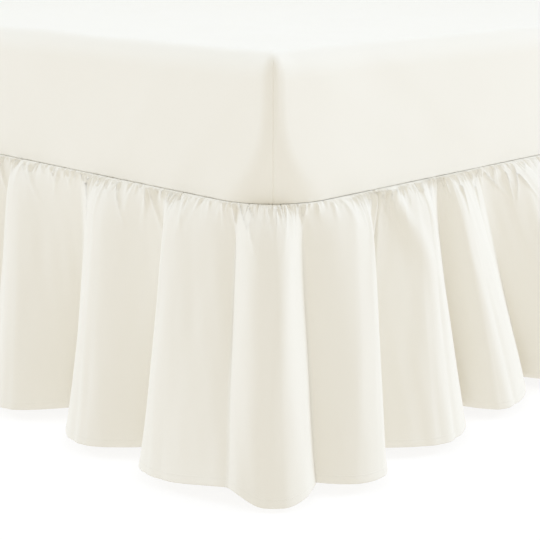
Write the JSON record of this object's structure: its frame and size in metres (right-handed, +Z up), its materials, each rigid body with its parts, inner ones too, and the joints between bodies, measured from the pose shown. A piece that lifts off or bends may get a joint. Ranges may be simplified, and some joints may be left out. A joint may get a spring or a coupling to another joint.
{
  "type": "bed skirt on a mattress and divan base",
  "caption": "Frilled valance sheet: a smooth fitted top with deep walls and a gathered frill in soft flared folds, on a plain mattress and divan base.",
  "frame": {"origin": "on the floor, under the middle of the bed", "axes": "+Z up, +Y towards the head of the bed, +X across it, to the right of someone who stands at the foot and looks to the head"},
  "size_m": [1.8063, 2.2799, 0.655],
  "materials": {
    "sheet_cotton": "smooth plain-weave cotton blend, cream",
    "frill_cotton": "smooth plain-weave cotton blend, cream, gathered",
    "mattress_ticking": "woven ticking, off-white",
    "base_cover": "plain upholstery cloth, oatmeal",
    "glide_plastic": "moulded nylon, black"
  },
  "bodies": {
    "root": {"fitted_sheet": "sheet_cotton", "frill_foot_left": "frill_cotton", "frill_foot_right": "frill_cotton", "frill_head_left": "frill_cotton", "frill_head_right": "frill_cotton", "mattress": "mattress_ticking", "divan_base": "base_cover", "glide_foot_left": "glide_plastic", "glide_foot_right": "glide_plastic", "glide_middle_left": "glide_plastic", "glide_middle_right": "glide_plastic", "glide_head_left": "glide_plastic", "glide_head_right": "glide_plastic"}
  },
  "joints": []
}
